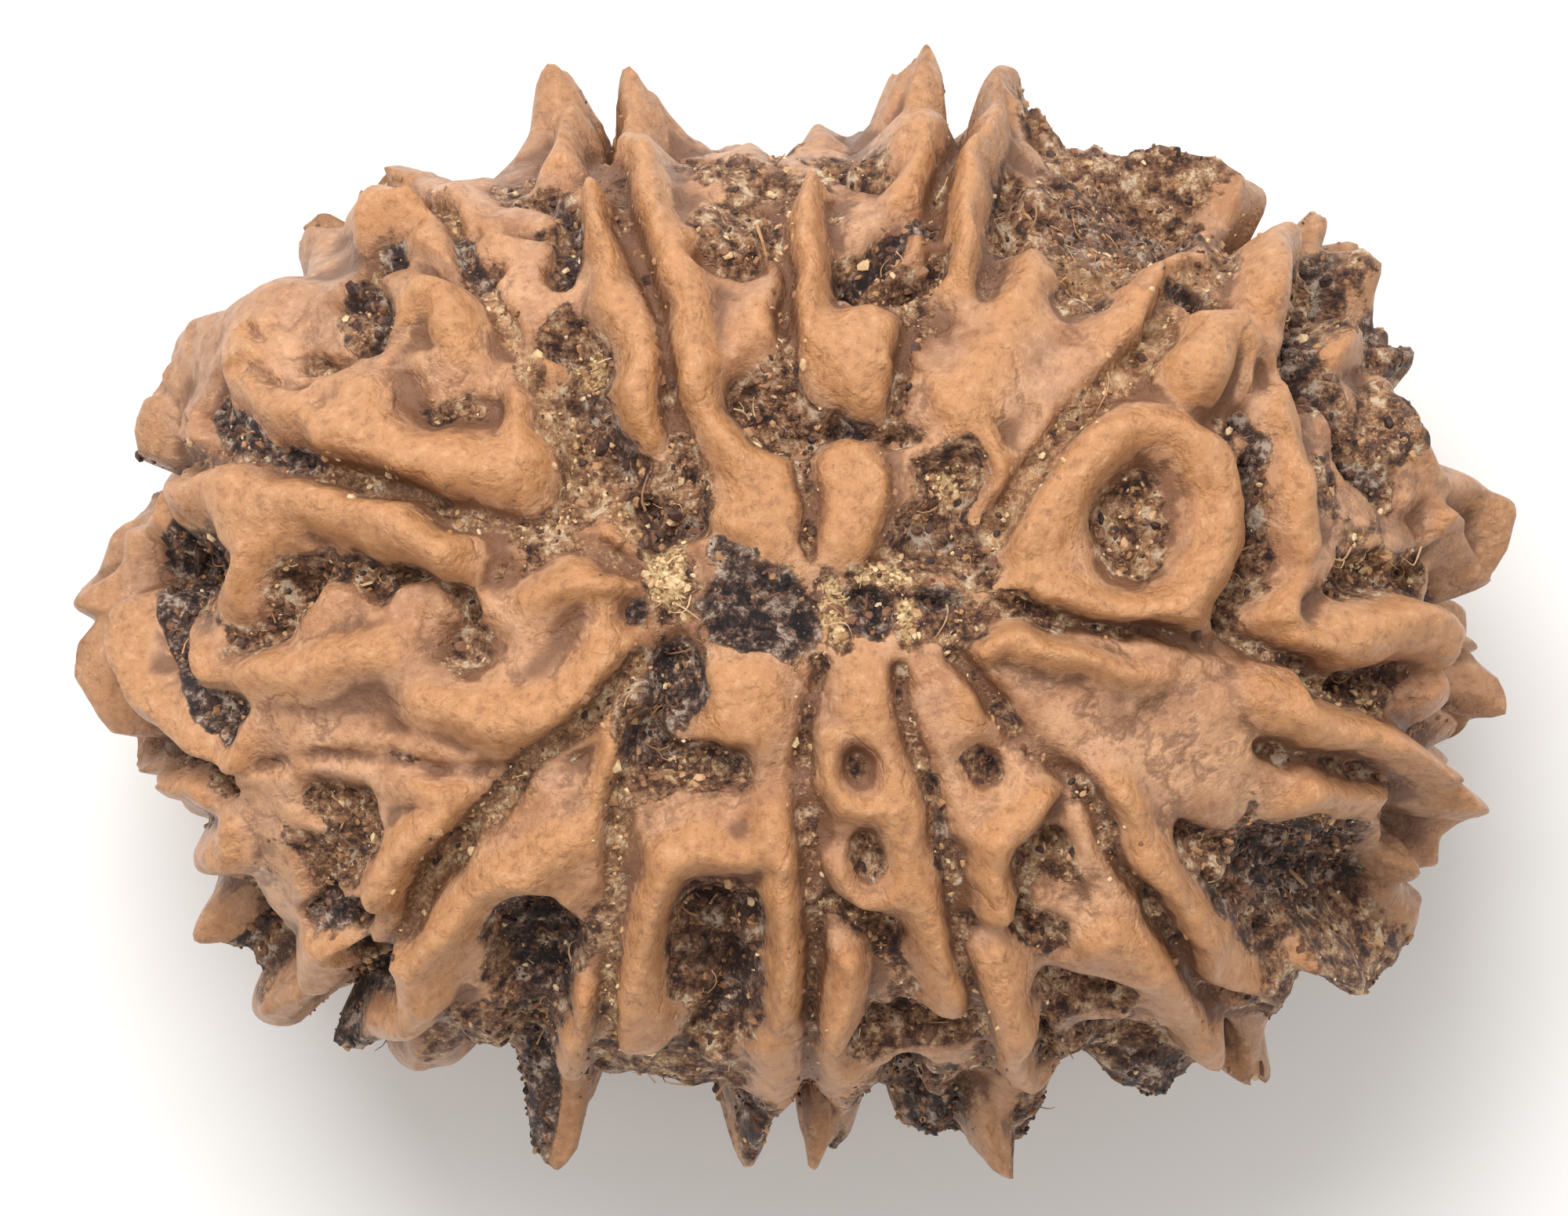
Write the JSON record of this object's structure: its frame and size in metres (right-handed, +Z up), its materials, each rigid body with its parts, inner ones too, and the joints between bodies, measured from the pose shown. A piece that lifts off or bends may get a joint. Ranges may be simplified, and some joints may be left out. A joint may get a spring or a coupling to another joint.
{
  "type": "twelve mukhi rudraksha",
  "caption": "Oval rudraksha stone: a deeply furrowed, spiny brown seed stone with radiating clefts, rough pits and dried pulp, resting on a small flat spot.",
  "frame": {"origin": "bottom centre of the bounding box, at the rest spot", "axes": "+X along the longer side, +Y along the shorter side, +Z up from pole to pole"},
  "size_m": [0.0276, 0.0216, 0.019],
  "materials": {
    "stone": "satin"
  },
  "bodies": {
    "root": {"rudraksha_stone": "stone"}
  },
  "joints": []
}
